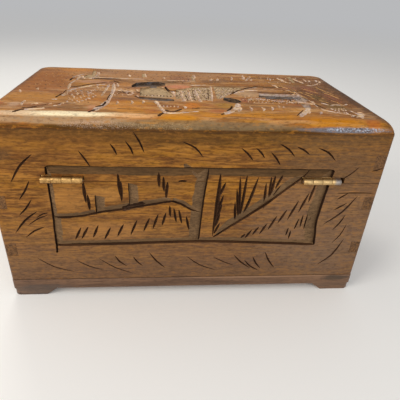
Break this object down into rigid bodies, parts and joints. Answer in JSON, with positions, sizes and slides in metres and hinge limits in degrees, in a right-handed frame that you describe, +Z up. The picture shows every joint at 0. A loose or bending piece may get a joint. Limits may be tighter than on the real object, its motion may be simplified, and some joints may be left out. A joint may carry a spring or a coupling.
{
  "type": "carved wooden box",
  "caption": "Rectangular carved wooden box on corner feet, with pinned corners, a hinged lid with rounded edges and a hook catch.",
  "frame": {"origin": "on the floor under the middle of the object, hinge barrels and hook included", "axes": "+Z up; the hinges are at +Y, which is the back, and the hook at -Y, which is the front; +X is to the right seen from the front"},
  "size_m": [0.255, 0.1492, 0.1364],
  "materials": {
    "lid_wood": "satin varnish, rubbed bright on the carved top",
    "board_wood": "satin varnish over brown stain, dark in the cuts",
    "base_wood": "satin varnish over brown stain",
    "hinge_brass": "aged brass, worn bright",
    "screw_brass": "aged brass",
    "pin_steel": "dull steel"
  },
  "bodies": {
    "case": {"body_back_board": "board_wood", "body_front_board": "board_wood", "body_left_board": "board_wood", "body_right_board": "board_wood", "base_board": "base_wood", "foot_back_left": "base_wood", "foot_back_right": "base_wood", "foot_front_left": "base_wood", "foot_front_right": "base_wood", "hinge_left_body_leaf": "hinge_brass", "hinge_left_pin": "pin_steel", "hinge_right_body_leaf": "hinge_brass", "hinge_right_pin": "pin_steel", "hinge_body_screws": "screw_brass", "latch_pivot_screw": "screw_brass", "latch_washer": "screw_brass"},
    "lid": {"lid_top_board": "lid_wood", "lid_back_board": "board_wood", "lid_front_board": "board_wood", "lid_left_board": "board_wood", "lid_right_board": "board_wood", "hinge_left_lid_leaf": "hinge_brass", "hinge_right_lid_leaf": "hinge_brass", "hinge_lid_screws": "screw_brass", "latch_stud": "screw_brass"},
    "hook": {"latch_hook": "hinge_brass"}
  },
  "joints": [
    {"name": "lid_hinge", "type": "hinge", "parent": "case", "child": "lid", "pos_m": [0, 0.0725, 0.0965], "axis": [-1, 0, 0], "range_deg": [0, 180]},
    {"name": "hook_swing", "type": "hinge", "parent": "case", "child": "hook", "pos_m": [0, -0.0721, 0.0834], "axis": [0, -1, 0], "range_deg": [-160, 178.9]}
  ]
}
